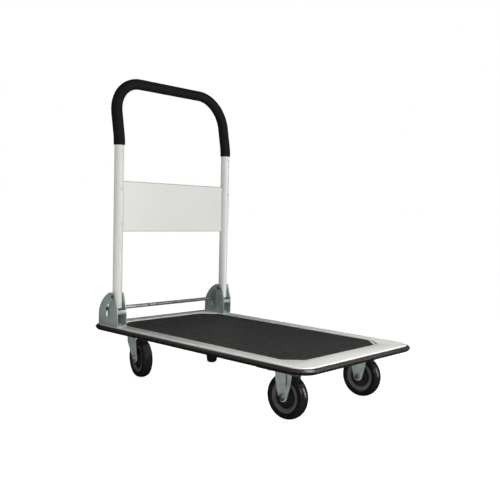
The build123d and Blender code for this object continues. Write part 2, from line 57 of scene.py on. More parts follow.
SIDES = ("left", "right")
joints = {joint["name"]: joint for joint in frame["joints"]}


# ---------------------------------------------------------------- camera, light, floor
CAMERA_PLACE = (1.20484, -1.32375, 0.45575)
CAMERA_AZIMUTH = 42.17
CAMERA_ELEVATION = 3.32
CAMERA_ROLL = 1.86
CAMERA_LENS = 50.15
SENSOR_WIDTH = 36.0
WORLD_BRIGHT_AXIS = (0.82, -0.36, 0.44)
WORLD_STRENGTH = 0.33
WORLD_RAMP = ((0.25, (0.03, 0.03, 0.03)), (1.0, (1.0, 1.0, 0.99)))  # place, colour
FLOOR_RADIUS = 40.0
FLOOR_GLOW = 0.94
LIGHTS = (  # name, place, target, size, watts, spread in degrees
    ("key", (2.7, -0.9, 1.35), (0, 0, 0.35), (1.3, 1.3), 15.5, 180.0),
    ("front", (0.72, 0.15, 1.15), (0.35, 0, 0.13), (0.5, 0.5), 2.7, 75.0),
    ("strip", (1.5, 0.9, 0.5), (0.26, 0, 0.1), (0.15, 1.0), 9.0, 180.0),
    ("back", (-2.0, 1.6, 1.6), (0, 0, 0.4), (1.2, 1.2), 1.5, 180.0),
)


def add_camera():
    data = bpy.data.cameras.new("camera")
    data.lens = CAMERA_LENS
    data.sensor_width = SENSOR_WIDTH
    camera = bpy.data.objects.new("camera", data)
    bpy.context.collection.objects.link(camera)
    aim = Matrix.Rotation(radians(CAMERA_AZIMUTH), 4, "Z")
    tilt = Matrix.Rotation(radians(90 - CAMERA_ELEVATION), 4, "X")
    roll = Matrix.Rotation(radians(CAMERA_ROLL), 4, "Z")
    camera.matrix_world = Matrix.Translation(CAMERA_PLACE) @ aim @ tilt @ roll
    bpy.context.scene.camera = camera


def add_area_light(name, place, target, size, power, spread):
    data = bpy.data.lights.new(name, "AREA")
    data.shape = "RECTANGLE"
    data.size, data.size_y = size
    data.energy = power
    data.spread = radians(spread)
    light = bpy.data.objects.new(name, data)
    bpy.context.collection.objects.link(light)
    direction = Vector(target) - Vector(place)
    light.rotation_euler = direction.to_track_quat("-Z", "Y").to_euler()
    light.location = place


def add_world():
    """White to the camera; as a light, bright towards the front and overhead, dim behind."""
    world = bpy.data.worlds.new("studio")
    bpy.context.scene.world = world
    world.use_nodes = True
    tree = world.node_tree
    tree.nodes.clear()
    output = tree.nodes.new("ShaderNodeOutputWorld")
    mix = tree.nodes.new("ShaderNodeMixShader")
    path = tree.nodes.new("ShaderNodeLightPath")
    seen = tree.nodes.new("ShaderNodeBackground")
    seen.inputs["Color"].default_value = (1, 1, 1, 1)
    seen.inputs["Strength"].default_value = 1.0
    lighting = tree.nodes.new("ShaderNodeBackground")
    coords = tree.nodes.new("ShaderNodeTexCoord")
    dot = tree.nodes.new("ShaderNodeVectorMath")
    dot.operation = "DOT_PRODUCT"
    dot.inputs[1].default_value = WORLD_BRIGHT_AXIS
    tree.links.new(coords.outputs["Generated"], dot.inputs[0])
    ramp = tree.nodes.new("ShaderNodeValToRGB")
    for element, (place, colour) in zip(ramp.color_ramp.elements, WORLD_RAMP):
        element.position = place
        element.color = (*colour, 1)
    lighting.inputs["Strength"].default_value = WORLD_STRENGTH
    level = remap(tree, dot.outputs["Value"], -1.0, 1.0, 0.0, 1.0)
    tree.links.new(level, ramp.inputs["Fac"])
    tree.links.new(ramp.outputs["Color"], lighting.inputs["Color"])
    tree.links.new(path.outputs["Is Camera Ray"], mix.inputs[0])
    tree.links.new(lighting.outputs[0], mix.inputs[1])
    tree.links.new(seen.outputs[0], mix.inputs[2])
    tree.links.new(mix.outputs[0], output.inputs["Surface"])


def add_floor():
    """A pale floor disc that glows a little, so that it reads as nearly white."""
    mesh = bpy.data.meshes.new("floor")
    bm = bmesh.new()
    bmesh.ops.create_circle(bm, cap_ends=True, segments=96, radius=FLOOR_RADIUS)
    bm.to_mesh(mesh)
    bm.free()
    floor = bpy.data.objects.new("floor", mesh)
    bpy.context.collection.objects.link(floor)
    material, shader, _ = new_material("floor_white", (0.4, 0.4, 0.4), 0.9)
    shader.inputs["Emission Color"].default_value = (1, 1, 1, 1)
    shader.inputs["Emission Strength"].default_value = FLOOR_GLOW
    mesh.materials.append(material)
    floor.visible_glossy = False


# ---------------------------------------------------------------- material helpers
def new_material(name, colour, roughness, metallic=0.0):
    material = bpy.data.materials.new(name)
    material.use_nodes = True
    tree = material.node_tree
    shader = tree.nodes["Principled BSDF"]
    shader.inputs["Base Color"].default_value = (*colour, 1)
    shader.inputs["Roughness"].default_value = roughness
    shader.inputs["Metallic"].default_value = metallic
    return material, shader, tree


def object_coords(tree):
    return tree.nodes.new("ShaderNodeTexCoord").outputs["Object"]


def object_height(tree):
    """A point's height in the part's own frame."""
    split = tree.nodes.new("ShaderNodeSeparateXYZ")
    tree.links.new(object_coords(tree), split.inputs[0])
    return split.outputs["Z"]


def noise(tree, scale, detail, roughness=0.55):
    node = tree.nodes.new("ShaderNodeTexNoise")
    node.inputs["Scale"].default_value = scale
    node.inputs["Detail"].default_value = detail
    node.inputs["Roughness"].default_value = roughness
    tree.links.new(object_coords(tree), node.inputs["Vector"])
    return node.outputs["Fac"]


def cells(tree, scale, output="Distance"):
    node = tree.nodes.new("ShaderNodeTexVoronoi")
    node.inputs["Scale"].default_value = scale
    tree.links.new(object_coords(tree), node.inputs["Vector"])
    return node.outputs[output]


def remap(tree, value, low, high, out_low, out_high):
    node = tree.nodes.new("ShaderNodeMapRange")
    node.inputs["From Min"].default_value = low
    node.inputs["From Max"].default_value = high
    node.inputs["To Min"].default_value = out_low
    node.inputs["To Max"].default_value = out_high
    tree.links.new(value, node.inputs["Value"])
    return node.outputs["Result"]


def patches(tree, scale, detail, low, high, roughness=0.55):
    """Noise stretched so that low to high covers 0 to 1."""
    return remap(tree, noise(tree, scale, detail, roughness), low, high, 0.0, 1.0)


def larger(tree, first, second):
    node = tree.nodes.new("ShaderNodeMath")
    node.operation = "MAXIMUM"
    tree.links.new(first, node.inputs[0])
    tree.links.new(second, node.inputs[1])
    return node.outputs[0]


def blend_colours(tree, factor, first, second):
    node = tree.nodes.new("ShaderNodeMix")
    node.data_type = "RGBA"
    tree.links.new(factor, node.inputs["Factor"])
    for socket, value in ((node.inputs[6], first), (node.inputs[7], second)):
        if isinstance(value, tuple):
            socket.default_value = (*value, 1)
        else:
            tree.links.new(value, socket)
    return node.outputs[2]


def set_colour(tree, shader, colour):
    tree.links.new(colour, shader.inputs["Base Color"])


def vary_roughness(tree, shader, scale, detail, least, most, low=0.3, high=0.7):
    """Lets noise between low and high move the roughness from least to most."""
    value = remap(tree, noise(tree, scale, detail), low, high, least, most)
    tree.links.new(value, shader.inputs["Roughness"])


def add_bump(tree, shader, height, distance, strength, after=None):
    node = tree.nodes.new("ShaderNodeBump")
    node.inputs["Distance"].default_value = distance
    node.inputs["Strength"].default_value = strength
    tree.links.new(height, node.inputs["Height"])
    if after is not None:
        tree.links.new(after, node.inputs["Normal"])
    tree.links.new(node.outputs["Normal"], shader.inputs["Normal"])
    return node.outputs["Normal"]


# ---------------------------------------------------------------- materials
PAINT_COAT = 0.35
PAINT_COAT_ROUGHNESS = 0.12
# How far the painted shade at the panel's hems reaches from each fold.
HEM_SHADE_REACH = 3.2 * MM
HEM_EDGE = 0.4 * MM


def make_white_paint(name="white_paint", shade_mask=None):
    """Powder coat: faint orange peel, faint dirt in patches, and painted shade wherever the given mask says."""
    material, shader, tree = new_material(name, (0.72, 0.73, 0.70), 0.3)
    shader.inputs["Coat Weight"].default_value = PAINT_COAT
    shader.inputs["Coat Roughness"].default_value = PAINT_COAT_ROUGHNESS
    dull = patches(tree, 6.0, 2.0, 0.3, 0.75)
    colour = blend_colours(tree, dull, (0.735, 0.745, 0.715), (0.715, 0.72, 0.69))
    # Painted shade: the paint is blended towards dark grey where the mask says.
    if shade_mask:
        colour = blend_colours(tree, shade_mask(tree), colour, (0.22, 0.215, 0.20))
    set_colour(tree, shader, colour)
    vary_roughness(tree, shader, 25.0, 5.0, 0.28, 0.36, low=0.1, high=0.9)
    add_bump(tree, shader, noise(tree, 900.0, 2.0), 0.06 * MM, 0.35)
    return material


def hem_painted_shade(tree):
    """Painted shade along the fold lines of the panel's two hems, fading out within a few millimetres."""
    low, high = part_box("handle_panel")
    height = object_height(tree)
    top = remap(tree, height, high[2] - HEM_SHADE_REACH, high[2] - HEM_EDGE, 0.0, 0.8)
    foot = remap(tree, height, low[2] + HEM_SHADE_REACH, low[2] + HEM_EDGE, 0.0, 0.6)
    return larger(tree, top, foot)


def make_grey_paint():
    """Thin dark primer on the underside's members, scuffed."""
    material, shader, tree = new_material("grey_paint", (0.10, 0.10, 0.10), 0.5)
    scuffs = patches(tree, 40.0, 8.0, 0.5, 0.72, 0.7)
    set_colour(tree, shader, blend_colours(tree, scuffs, (0.09, 0.09, 0.09), (0.19, 0.19, 0.18)))
    add_bump(tree, shader, noise(tree, 700.0, 3.0), 0.1 * MM, 0.4)
    return material


def make_mat_rubber():
    """Pebbled black rubber with faint pale dust."""
    material, shader, tree = new_material("mat_rubber", (0.022, 0.024, 0.022), 0.6)
    shader.inputs["Specular IOR Level"].default_value = 0.35
    dust = patches(tree, 9.0, 8.0, 0.42, 0.75, 0.65)
    colour = blend_colours(tree, dust, (0.0150, 0.0168, 0.0150), (0.0185, 0.0205, 0.0180))
    set_colour(tree, shader, colour)
    vary_roughness(tree, shader, 60.0, 4.0, 0.50, 0.68)
    pebbles = add_bump(tree, shader, cells(tree, 620.0), 0.35 * MM, 0.55)
    add_bump(tree, shader, noise(tree, 1800.0, 2.0), 0.1 * MM, 0.35, after=pebbles)
    return material


def make_bumper_rubber():
    """Satin strip, faintly streaked, with painted light making it brown-grey above the nose and painted shade
    making it black below it.
    """
    material, shader, tree = new_material("bumper_rubber", (0.035, 0.03, 0.028), 0.3)
    streaks = patches(tree, 12.0, 7.0, 0.35, 0.7, 0.6)
    streaks_and_painted_light = blend_colours(tree, streaks, (0.028, 0.0235, 0.021), (0.033, 0.028, 0.025))
    # Painted light and shade: the upper face gets a lighter, streaked brown-grey and the underside below the nose
    # is near-black.
    painted_shade_to, painted_light_from = BUMPER_NOSE_Z - 1.2 * MM, BUMPER_NOSE_Z + 0.4 * MM
    painted_light_mask = remap(tree, object_height(tree), painted_shade_to, painted_light_from, 0.0, 1.0)
    set_colour(tree, shader, blend_colours(tree, painted_light_mask, (0.005, 0.006, 0.0055), streaks_and_painted_light))
    vary_roughness(tree, shader, 90.0, 4.0, 0.24, 0.38)
    add_bump(tree, shader, noise(tree, 500.0, 3.0), 0.1 * MM, 0.3)
    return material


def make_grip_foam():
    """Closed-cell foam: fine pores over a soft low-contrast mottling."""
    material, shader, tree = new_material("grip_foam", (0.010, 0.010, 0.010), 0.72)
    shader.inputs["Specular IOR Level"].default_value = 0.3
    mottle = patches(tree, 70.0, 6.0, 0.35, 0.7, 0.7)
    colour = blend_colours(tree, mottle, (0.0035, 0.0035, 0.0035), (0.0075, 0.0075, 0.0075))
    set_colour(tree, shader, colour)
    skin = add_bump(tree, shader, noise(tree, 260.0, 5.0, 0.6), 0.5 * MM, 0.5)
    add_bump(tree, shader, cells(tree, 1500.0), 0.15 * MM, 0.5, after=skin)
    return material


def make_zinc_plate():
    """Zinc-plated sheet: blue-grey with small mottled crystals and darker stains."""
    material, shader, tree = new_material("zinc_plate", (0.42, 0.47, 0.45), 0.42, 0.5)
    stain = patches(tree, 28.0, 8.0, 0.35, 0.72, 0.7)
    colour = blend_colours(tree, stain, (0.58, 0.67, 0.64), (0.33, 0.40, 0.375))
    grains = remap(tree, cells(tree, 260.0, output="Color"), 0.0, 1.0, 0.0, 0.35)
    set_colour(tree, shader, blend_colours(tree, grains, colour, (0.66, 0.74, 0.71)))
    vary_roughness(tree, shader, 55.0, 6.0, 0.28, 0.5)
    add_bump(tree, shader, noise(tree, 320.0, 5.0), 0.12 * MM, 0.4)
    return material


def make_bright_steel():
    """Bright plated fasteners and bar: fine turning marks and small dull spots."""
    material, shader, tree = new_material("bright_steel", (0.62, 0.63, 0.63), 0.28, 1.0)
    spots = patches(tree, 120.0, 6.0, 0.45, 0.7)
    set_colour(tree, shader, blend_colours(tree, spots, (0.50, 0.51, 0.51), (0.32, 0.33, 0.33)))
    vary_roughness(tree, shader, 300.0, 4.0, 0.20, 0.38)
    add_bump(tree, shader, noise(tree, 900.0, 3.0), 0.04 * MM, 0.4)
    return material


def make_spring_steel():
    """Plain steel wire, darkened by oil in spots."""
    material, shader, tree = new_material("spring_steel", (0.45, 0.45, 0.45), 0.3, 1.0)
    oil = patches(tree, 200.0, 4.0, 0.4, 0.7)
    set_colour(tree, shader, blend_colours(tree, oil, (0.48, 0.48, 0.48), (0.25, 0.24, 0.23)))
    return material


def make_tyre_rubber():
    """Smooth moulded rubber with a soft sheen and a little floor dust."""
    material, shader, tree = new_material("tyre_rubber", (0.009, 0.010, 0.011), 0.3)
    shader.inputs["Specular IOR Level"].default_value = 0.4
    dust = patches(tree, 35.0, 8.0, 0.45, 0.75, 0.7)
    colour = blend_colours(tree, dust, (0.0035, 0.004, 0.0045), (0.009, 0.0095, 0.010))
    set_colour(tree, shader, colour)
    vary_roughness(tree, shader, 80.0, 5.0, 0.2, 0.27)
    add_bump(tree, shader, noise(tree, 600.0, 3.0), 0.1 * MM, 0.3)
    return material


def make_hub_plastic():
    """Moulded dark grey plastic with a fine spark-eroded grain."""
    material, shader, tree = new_material("hub_plastic", (0.06, 0.062, 0.058), 0.48)
    tone = patches(tree, 45.0, 5.0, 0.35, 0.7)
    colour = blend_colours(tree, tone, (0.070, 0.070, 0.063), (0.095, 0.094, 0.085))
    set_colour(tree, shader, colour)
    add_bump(tree, shader, noise(tree, 1400.0, 2.0), 0.08 * MM, 0.5)
    return material


def make_hub_recess():
    """The hub's dish: the same plastic, coloured near-black round the axle as painted shade in the deep recess."""
    material, shader, tree = new_material("hub_recess", (0.008, 0.008, 0.007), 0.62)
    # Painted shade: two near-black tones that vary in patches.
    dish_shade_tone = patches(tree, 60.0, 6.0, 0.35, 0.7)
    colour = blend_colours(tree, dish_shade_tone, (0.006, 0.006, 0.005), (0.016, 0.015, 0.012))
    set_colour(tree, shader, colour)
    add_bump(tree, shader, noise(tree, 1100.0, 3.0), 0.1 * MM, 0.5)
    return material


def make_bush_plastic():
    """Pale plastic bearing sleeve, soiled in patches."""
    material, shader, tree = new_material("bush_plastic", (0.55, 0.54, 0.50), 0.5)
    tone = patches(tree, 150.0, 4.0, 0.35, 0.7)
    set_colour(tree, shader, blend_colours(tree, tone, (0.58, 0.57, 0.53), (0.40, 0.39, 0.36)))
    return material


# ---------------------------------------------------------------- mesh helpers
WELD_GAP = 0.01 * MM
FLAT_WITHIN = 0.6
BEVEL_STEPS = 2
BEVEL_FROM = 35.0
BEVEL_SMOOTH = 38.0


def add_piece(name, mesh, material, body, nodes, smooth_angle):
    """Links a finished mesh as a piece that stands for CAD nodes and rides on a body, if given."""
    mesh.materials.clear()
    mesh.materials.append(material)
    piece = bpy.data.objects.new(name, mesh)
    bpy.context.collection.objects.link(piece)
    mesh.shade_smooth()
    mesh.set_sharp_from_angle(angle=radians(smooth_angle))
    if body is not None:
        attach(piece, body)
    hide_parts(*nodes)
    return piece


def apply_modifiers(mesh, *settings):
    """Runs modifiers, given as (type, values) pairs, over a mesh and returns the result."""
    carrier = bpy.data.objects.new("carrier", mesh)
    bpy.context.collection.objects.link(carrier)
    for kind, values in settings:
        modifier = carrier.modifiers.new(kind.lower(), kind)
        for key, value in values.items():
            setattr(modifier, key, value)
    graph = bpy.context.evaluated_depsgraph_get()
    result = bpy.data.meshes.new_from_object(carrier.evaluated_get(graph))
    bpy.data.objects.remove(carrier)
    return result


def add_softened(node, material, body, width):
    """A copy of a CAD node whose sharp edges are rounded, to stand for that node."""
    source = frame["nodes"][node]
    bm = bmesh.new()
    bm.from_mesh(source.data)
    bm.transform(source.matrix_world)
    bmesh.ops.remove_doubles(bm, verts=bm.verts, dist=WELD_GAP)
    bmesh.ops.dissolve_limit(
        bm, angle_limit=radians(FLAT_WITHIN), verts=bm.verts, edges=bm.edges,
        use_dissolve_boundaries=False,
    )
    mesh = bpy.data.meshes.new(node)
    bm.to_mesh(mesh)
    bm.free()
    rounding = {
        "width": width, "segments": BEVEL_STEPS, "limit_method": "ANGLE",
        "angle_limit": radians(BEVEL_FROM), "use_clamp_overlap": True, "harden_normals": False,
        "miter_outer": "MITER_ARC",
    }
    mesh = apply_modifiers(mesh, ("BEVEL", rounding))
    add_piece(f"{node}_detail", mesh, material, body, [node], BEVEL_SMOOTH)


def grid_mesh(name, rings, loop=False):
    """A skin over rings of points. In a loop the last ring joins the first, or caps close both."""
    count = len(rings[0])
    points = [point for ring in rings for point in ring]
    faces = []
    for i in range(len(rings) if loop else len(rings) - 1):
        low, high = i * count, ((i + 1) % len(rings)) * count
        for j in range(count):
            k = (j + 1) % count
            faces.append((low + j, low + k, high + k, high + j))
    if not loop:
        faces.append(tuple(range(count))[::-1])
        faces.append(tuple(range((len(rings) - 1) * count, len(rings) * count)))
    mesh = bpy.data.meshes.new(name)
    mesh.from_pydata(points, [], faces)
    bm = bmesh.new()
    bm.from_mesh(mesh)
    bmesh.ops.recalc_face_normals(bm, faces=bm.faces)
    bm.to_mesh(mesh)
    bm.free()
    return mesh


def lathe(name, profile, centre, axle, steps):
    """Turns a closed outline of (radius, along) points about an axle line."""
    axle = Vector(axle).normalized()
    across = Vector((0, 0, 1))
    third = axle.cross(across)
    rings = []
    for i in range(steps):
        turn = 2 * pi * i / steps
        outward = across * cos(turn) + third * sin(turn)
        rings.append([Vector(centre) + outward * r + axle * t for r, t in profile])
    return grid_mesh(name, rings, loop=True)


def tube_along(name, points, radius, sides):
    """A round wire along a list of points, with closed ends."""
    rings = []
    previous = None
    for i, point in enumerate(points):
        ahead = points[min(i + 1, len(points) - 1)] - points[max(i - 1, 0)]
        ahead.normalize()
        if previous is None:
            helper = Vector((0, 1, 0)) if abs(ahead.y) < 0.9 else Vector((0, 0, 1))
            first = ahead.cross(helper).normalized()
        else:
            first = (previous - ahead * previous.dot(ahead)).normalized()
        previous = first
        second = ahead.cross(first)
        turns = [2 * pi * j / sides for j in range(sides)]
        rings.append([point + (first * cos(t) + second * sin(t)) * radius for t in turns])
    return grid_mesh(name, rings)


def arc_through(first, middle, last, count):
    """Points on the circular arc from first through middle to last, in two dimensions."""
    (ax, ay), (bx, by), (cx, cy) = first, middle, last
    twice = 2 * (ax * (by - cy) + bx * (cy - ay) + cx * (ay - by))
    a2, b2, c2 = ax * ax + ay * ay, bx * bx + by * by, cx * cx + cy * cy
    ox = (a2 * (by - cy) + b2 * (cy - ay) + c2 * (ay - by)) / twice
    oy = (a2 * (cx - bx) + b2 * (ax - cx) + c2 * (bx - ax)) / twice
    radius = sqrt((ax - ox) ** 2 + (ay - oy) ** 2)
    start, through, end = (atan2(y - oy, x - ox) for x, y in (first, middle, last))
    full = (end - start) % (2 * pi)
    if (through - start) % (2 * pi) > full:
        full -= 2 * pi
    turns = [start + full * i / (count - 1) for i in range(count)]
    return [(ox + radius * cos(t), oy + radius * sin(t)) for t in turns]


# ---------------------------------------------------------------- deck
DECK_CORNER = 39.5 * MM
SKIRT_BOTTOM = 123.0 * MM
ROLL_BOTTOM = 132.9 * MM
BUMPER_CREST_Z = 135.0 * MM
BUMPER_BOTTOM = 121.8 * MM
BUMPER_NOSE_Z = 129.2 * MM
BUMPER_REACH = 8.5 * MM
BUMPER_LIP = 4.0 * MM
MAT_CHAMFER = 44.0 * MM
MAT_CORNER = 12.0 * MM
MAT_GRID = (124, 72)
MAT_CUTS = (22.5, 45.0, 67.5)
MAT_SINK = 0.12 * MM
MAT_WAVE = 0.08 * MM
MAT_RIPPLE = 0.03 * MM
MAT_THINNER = 0.3 * MM
MAT_EDGE = 0.45 * MM
CORNER_STEPS = 20
SIDE_STEPS = 12


def rounded_rectangle(half_x, half_y, corner, reach):
    """Points round a rectangle, grown outwards by reach, counter-clockwise."""
    inner_x, inner_y = half_x - corner, half_y - corner
    radius = corner + reach
    points = []
    centres = [(inner_x, inner_y), (-inner_x, inner_y), (-inner_x, -inner_y), (inner_x, -inner_y)]
    for quarter, (cx, cy) in enumerate(centres):
        turns = [pi / 2 * (quarter + i / CORNER_STEPS) for i in range(CORNER_STEPS + 1)]
        arc = [(cx + radius * cos(t), cy + radius * sin(t)) for t in turns]
        next_x, next_y = centres[(quarter + 1) % 4]
        last = arc[-1]
        side = [
            (last[0] + (next_x - cx) * i / SIDE_STEPS, last[1] + (next_y - cy) * i / SIDE_STEPS)
            for i in range(1, SIDE_STEPS)
        ]
        points += arc + side
    return points


def make_bumper(material):
    """The rubber strip: a wedge nose, eased top and foot, and a lip under the skirt."""
    _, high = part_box("deck_tray")
    half_x, half_y = high[0], high[1]
    nose, foot = BUMPER_REACH, BUMPER_BOTTOM
    nose_top = (nose - 0.5 * MM, BUMPER_NOSE_Z + 0.8 * MM)
    nose_low = (nose - 0.5 * MM, BUMPER_NOSE_Z - 0.8 * MM)
    under = arc_through((2.0 * MM, foot), (5.6 * MM, foot + 2.5 * MM), nose_low, 8)
    tip = arc_through(nose_low, (nose, BUMPER_NOSE_Z), nose_top, 6)[1:]
    shoulder = (1.5 * MM, BUMPER_CREST_Z - 0.25 * MM)
    upper = arc_through(nose_top, (5.2 * MM, BUMPER_NOSE_Z + 3.9 * MM), shoulder, 10)[1:]
    crest = arc_through(shoulder, (0.8 * MM, BUMPER_CREST_Z), (0.1 * MM, ROLL_BOTTOM + 1.2 * MM), 5)
    inside = [
        (0.0, ROLL_BOTTOM), (0.0, SKIRT_BOTTOM), (-BUMPER_LIP, SKIRT_BOTTOM),
        (-BUMPER_LIP, foot + 0.3 * MM), (0.3 * MM - BUMPER_LIP, foot),
    ]
    rings = []
    for reach, z in under + tip + upper + crest[1:] + inside:
        outline = rounded_rectangle(half_x, half_y, DECK_CORNER, reach)
        rings.append([Vector((x, y, z)) for x, y in outline])
    mesh = grid_mesh("edge_bumper", rings, loop=True)
    add_piece("bumper_strip", mesh, material, "deck", ["edge_bumper"], 40.0)


def make_mat(material):
    """The rubber mat: cut corners, eased edges and a surface that is not quite flat."""
    low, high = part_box("deck_mat")
    centre_x = (low[0] + high[0]) / 2
    half_x, half_y = (high[0] - low[0]) / 2, (high[1] - low[1]) / 2
    bm = bmesh.new()
    bmesh.ops.create_grid(bm, x_segments=MAT_GRID[0], y_segments=MAT_GRID[1], size=1.0)
    bmesh.ops.scale(bm, vec=(half_x, half_y, 1), verts=bm.verts)
    for sx in (-1, 1):
        for sy in (-1, 1):
            for turn in MAT_CUTS:
                normal = Vector((sx * cos(radians(turn)), sy * sin(radians(turn)), 0))
                point = mat_cut_point(half_x, half_y, turn)
                place = Vector((sx * point[0], sy * point[1], 0))
                geometry = list(bm.verts) + list(bm.edges) + list(bm.faces)
                bmesh.ops.bisect_plane(
                    bm, geom=geometry, plane_co=place, plane_no=normal, clear_outer=True
                )
    thickness = high[2] - low[2]
    bmesh.ops.translate(bm, vec=(centre_x, 0, high[2] - MAT_SINK), verts=bm.verts)
    for vertex in bm.verts:
        wave = sin(31 * vertex.co.x + 1.3) * sin(27 * vertex.co.y + 0.4)
        ripple = sin(83 * vertex.co.x - 49 * vertex.co.y)
        vertex.co.z += MAT_WAVE * wave + MAT_RIPPLE * ripple
    mesh = bpy.data.meshes.new("deck_mat")
    bm.to_mesh(mesh)
    bm.free()
    shell = {"thickness": thickness - MAT_THINNER, "offset": -1.0}
    edge = {"width": MAT_EDGE, "segments": 3, "limit_method": "ANGLE", "angle_limit": radians(50)}
    mesh = apply_modifiers(mesh, ("SOLIDIFY", shell), ("BEVEL", edge))
    add_piece("mat_sheet", mesh, material, "deck", ["deck_mat"], 50.0)


def mat_cut_point(half_x, half_y, turn):
    """A point of one corner's cut: the main cut at 45 degrees, or an easing beside it."""
    if turn == 45.0:
        return half_x - MAT_CHAMFER / 2, half_y - MAT_CHAMFER / 2
    half_turn = cos(radians(22.5))
    inset = MAT_CORNER * (1 / half_turn - 1) * half_turn
    if turn < 45.0:
        return half_x - inset, half_y - MAT_CHAMFER
    return half_x - MAT_CHAMFER, half_y - inset


# ---------------------------------------------------------------- handle grip
HALF_SPAN = 198.4 * MM
HANDLE_LEAN = 0.72
KNEE_UP = 415.0 * MM
KNEE_RADIUS = 150.0 * MM
UPPER_LENGTH = 158.4 * MM
UPPER_LEAN = 10.0
CORNER_RADIUS = 88.0 * MM
GRIP_START = 398.5 * MM
TUBE_R = 12.5 * MM
GRIP_R = 15.0 * MM
GRIP_TOP_R = 14.3 * MM
GRIP_STEP = 2.0 * MM
GRIP_SIDES = 56
GRIP_SNUG = 0.2 * MM
GRIP_END_ROUND = 2.2 * MM
GRIP_THIN_FROM = 60 * MM
GRIP_THIN_OVER = 190 * MM
GRIP_RIPPLE = 0.12 * MM
GRIP_SINK = 0.15 * MM


def grip_centreline():
    """Points up the left upright, round the corner and along to the middle of the top bar."""
    step = GRIP_STEP
    lean = radians(UPPER_LEAN)
    up = Vector((-sin(lean), 0, cos(lean)))
    knee = KNEE_RADIUS * tan(lean / 2)
    points = [Vector((0, HALF_SPAN, z)) for z in spread(GRIP_START, KNEE_UP - knee, step)]
    centre = Vector((-KNEE_RADIUS, HALF_SPAN, KNEE_UP - knee))
    for turn in spread(0, lean, step / KNEE_RADIUS)[1:]:
        points.append(centre + KNEE_RADIUS * Vector((cos(turn), 0, sin(turn))))
    top = Vector((0, HALF_SPAN, KNEE_UP)) + up * UPPER_LENGTH
    corner_start = top - up * CORNER_RADIUS
    base = points[-1]
    run = (corner_start - base).length
    points += [base + up * s for s in spread(0, run, step)[1:]]
    centre = corner_start + Vector((0, -CORNER_RADIUS, 0))
    for turn in spread(0, pi / 2, step / CORNER_RADIUS)[1:]:
        points.append(centre + CORNER_RADIUS * (Vector((0, cos(turn), 0)) + up * sin(turn)))
    points += [Vector((top.x, y, top.z)) for y in spread(points[-1].y, 0, step)[1:]]
    return points


def spread(start, end, step):
    """Evenly spaced numbers from start to end, about one step apart."""
    count = max(1, round(abs(end - start) / step))
    return [start + (end - start) * i / count for i in range(count + 1)]


def make_grip(material):
    """The foam sleeve: rounded ends, slightly stretched thin over the top bar."""
    left = grip_centreline()
    points = left + [Vector((p.x, -p.y, p.z)) for p in reversed(left[:-1])]
    pivot = Vector(joints["handle_fold"]["pos_m"])
    place = Matrix.Translation(pivot) @ Matrix.Rotation(radians(-HANDLE_LEAN), 4, "Y")
    total = len(points)
    run = [0.0]
    for a, b in zip(points, points[1:]):
        run.append(run[-1] + (b - a).length)
    rings = []
    for i, point in enumerate(points):
        ahead = (points[min(i + 1, total - 1)] - points[max(i - 1, 0)]).normalized()
        first = ahead.cross(Vector((1, 0, 0))).normalized()
        second = ahead.cross(first)
        radius = grip_radius(min(run[i], run[-1] - run[i]))
        ring = []
        for j in range(GRIP_SIDES):
            turn = 2 * pi * j / GRIP_SIDES
            ring.append(place @ (point + (first * cos(turn) + second * sin(turn)) * radius))
        rings.append(ring)
    mesh = grid_mesh("handle_grip", rings)
    add_piece("grip_sleeve", mesh, material, "handle", ["handle_grip"], 60.0)


def grip_radius(gap):
    """The sleeve's radius at a distance from its nearer end."""
    if gap < GRIP_END_ROUND:
        lift = sqrt(max(0.0, 1 - (1 - gap / GRIP_END_ROUND) ** 2))
        return TUBE_R + GRIP_SNUG + (GRIP_R - TUBE_R - GRIP_SNUG) * lift
    thin = min(1.0, max(0.0, (gap - GRIP_THIN_FROM) / GRIP_THIN_OVER))
    thin = thin * thin * (3 - 2 * thin)
    ripple = GRIP_RIPPLE * sin(gap / (7.3 * MM)) * sin(gap / (19 * MM) + 0.7)
    return GRIP_R - GRIP_SINK + (GRIP_TOP_R - GRIP_R) * thin + ripple


# ---------------------------------------------------------------- wheels
DISH_R = 26.0 * MM
WHEEL_STEPS = 128


def tyre_profile():
    """Half the tyre's outline, from the middle of the tread in to the bead, then mirrored."""
    tread = arc_through((51.35, 0.0), (50.8, 5.6), (48.6, 11.0), 9)
    shoulder = arc_through((48.6, 11.0), (47.2, 12.6), (45.2, 13.3), 5)[1:]
    wall = [(43.8, 13.5), (41.6, 13.5), (41.3, 13.15), (40.7, 13.15), (40.4, 13.4), (38.2, 13.1)]
    bead = [(37.4, 12.6), (36.4, 11.6), (36.0, 11.0), (36.0, 4.0)]
    half = [(51.5, 0.0), (51.5, 0.25)] + tread[1:] + shoulder + wall + bead
    return half + [(r, -t) for r, t in reversed(half[1:])]


def hub_profile():
    """Half the hub's outline, from the bush out to the rim, then mirrored."""
    boss = [(6.0, 15.5), (10.6, 15.5), (11.8, 14.9), (12.5, 13.4), (13.2, 7.0), (14.6, 5.0)]
    web = [(16.5, 4.3), (21.0, 3.7), (24.0, 3.8), (25.2, 4.6)]
    dish = [(26.4, 7.6), (27.4, 9.2), (29.0, 10.3), (31.2, 11.0), (33.4, 11.1), (35.6, 11.0)]
    half = boss + web + dish + [(36.0, 10.6)]
    return half + [(r, -t) for r, t in reversed(half)]


def in_metres(profile):
    return [(r * MM, t * MM) for r, t in profile]


def darken_dish(mesh, joint, material):
    """Gives the faces inside the hub's lip the near-black material, painted shade in the dish."""
    mesh.materials.append(material)
    centre, axle = Vector(joint["pos_m"]), Vector(joint["axis"]).normalized()
    for polygon in mesh.polygons:
        offset = polygon.center - centre
        radius = (offset - axle * offset.dot(axle)).length
        if radius < DISH_R:
            polygon.material_index = 1


